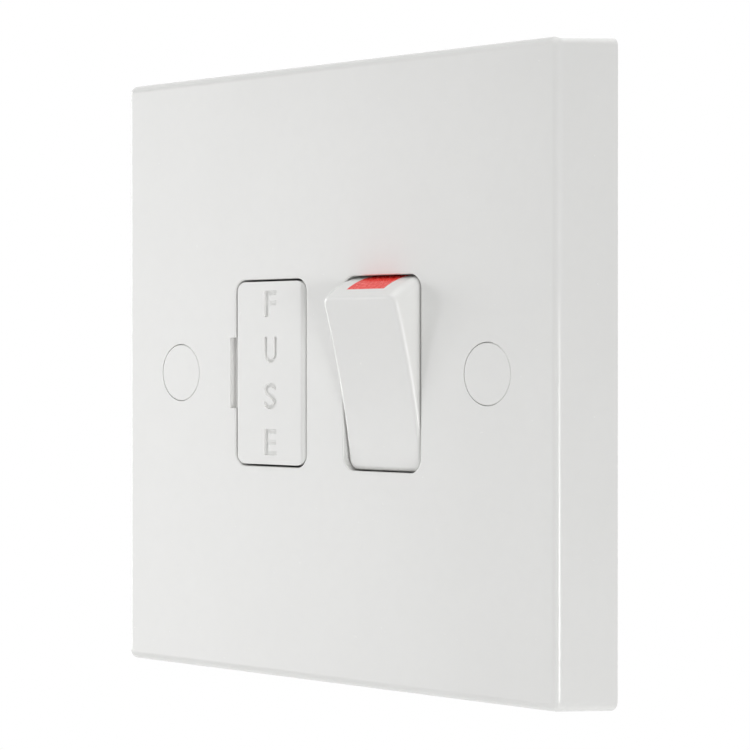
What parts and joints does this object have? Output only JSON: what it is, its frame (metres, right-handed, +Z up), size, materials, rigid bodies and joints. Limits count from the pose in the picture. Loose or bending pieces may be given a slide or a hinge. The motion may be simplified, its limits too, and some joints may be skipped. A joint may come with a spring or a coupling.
{
  "type": "switched fused connection unit",
  "caption": "Square white wall plate with a rocker switch and a pull-out fuse carrier, on a moulded housing with rear tunnel terminals.",
  "frame": {"origin": "middle of the plate's rear rim, on the wall plane, midway between the two fixing screws", "axes": "+Y into the wall along the fixing screws, +Z up with the lettered face upright, +X to the right as the face is looked at"},
  "size_m": [0.086, 0.029, 0.086],
  "materials": {
    "white_plastic": "smooth moulded white",
    "rocker_plastic": "smooth moulded white",
    "red_plastic": "smooth red inlay",
    "housing_plastic": "matt moulded off-white",
    "plunger_plastic": "matt natural nylon",
    "brass": "machined and pressed brass",
    "copper": "rolled copper strip",
    "silver": "silver contact metal",
    "nickel": "nickel plate",
    "steel": "bright zinc plate",
    "ceramic": "unglazed ceramic"
  },
  "bodies": {
    "unit": {"front_plate": "white_plastic", "fixing_screw_left": "steel", "fixing_screw_right": "steel", "rear_housing": "housing_plastic", "housing_screw_upper": "steel", "housing_screw_lower": "steel", "supply_live_terminal": "brass", "supply_neutral_terminal": "brass", "load_live_terminal": "brass", "load_neutral_terminal": "brass", "live_link": "brass", "earth_bar": "brass", "supply_live_screw": "steel", "supply_neutral_screw": "steel", "load_live_screw": "steel", "load_neutral_screw": "steel", "earth_screw_left": "steel", "earth_screw_right": "steel", "live_fixed_rivet": "silver", "neutral_fixed_rivet": "silver"},
    "rocker": {"rocker": "rocker_plastic", "rocker_flash": "red_plastic", "live_spring": "steel", "neutral_spring": "steel"},
    "live_plunger": {"live_plunger": "plunger_plastic"},
    "neutral_plunger": {"neutral_plunger": "plunger_plastic"},
    "live_contact": {"live_contact": "copper", "live_moving_rivet": "silver"},
    "neutral_contact": {"neutral_contact": "copper", "neutral_moving_rivet": "silver"},
    "fuse_carrier": {"fuse_carrier": "white_plastic", "fuse_body": "ceramic", "fuse_end_cap_upper": "nickel", "fuse_end_cap_lower": "nickel"},
    "screw_cover_left": {"screw_cover_left": "white_plastic"},
    "screw_cover_right": {"screw_cover_right": "white_plastic"}
  },
  "joints": [
    {"name": "rocker_pivot", "type": "hinge", "parent": "unit", "child": "rocker", "pos_m": [0.01095, -0.0066, 0], "axis": [-1, 0, 0], "range_deg": [0, 26]},
    {"name": "live_contact_pivot", "type": "hinge", "parent": "unit", "child": "live_contact", "pos_m": [0.0073, 0.005, 0], "axis": [1, 0, 0], "range_deg": [0, 14]},
    {"name": "neutral_contact_pivot", "type": "hinge", "parent": "unit", "child": "neutral_contact", "pos_m": [0.0146, 0.005, 0], "axis": [1, 0, 0], "range_deg": [0, 14]},
    {"name": "live_plunger_slide", "type": "slide", "parent": "rocker", "child": "live_plunger", "axis": [0, -0.9744, -0.225], "range_m": [0, 0.0004], "stiffness_N_per_m": 500, "springref_m": -0.001},
    {"name": "neutral_plunger_slide", "type": "slide", "parent": "rocker", "child": "neutral_plunger", "axis": [0, -0.9744, -0.225], "range_m": [0, 0.0004], "stiffness_N_per_m": 500, "springref_m": -0.001},
    {"name": "fuse_carrier_slide", "type": "slide", "parent": "unit", "child": "fuse_carrier", "axis": [0, -1, 0], "range_m": [0, 0.02]},
    {"name": "screw_cover_left_pull", "type": "slide", "parent": "unit", "child": "screw_cover_left", "axis": [0, -1, 0], "range_m": [0, 0.006]},
    {"name": "screw_cover_right_pull", "type": "slide", "parent": "unit", "child": "screw_cover_right", "axis": [0, -1, 0], "range_m": [0, 0.006]}
  ],
  "couplings": [
    {"joint": "live_contact_pivot", "follows": "rocker_pivot", "ratio": 0.538},
    {"joint": "neutral_contact_pivot", "follows": "rocker_pivot", "ratio": 0.538}
  ]
}
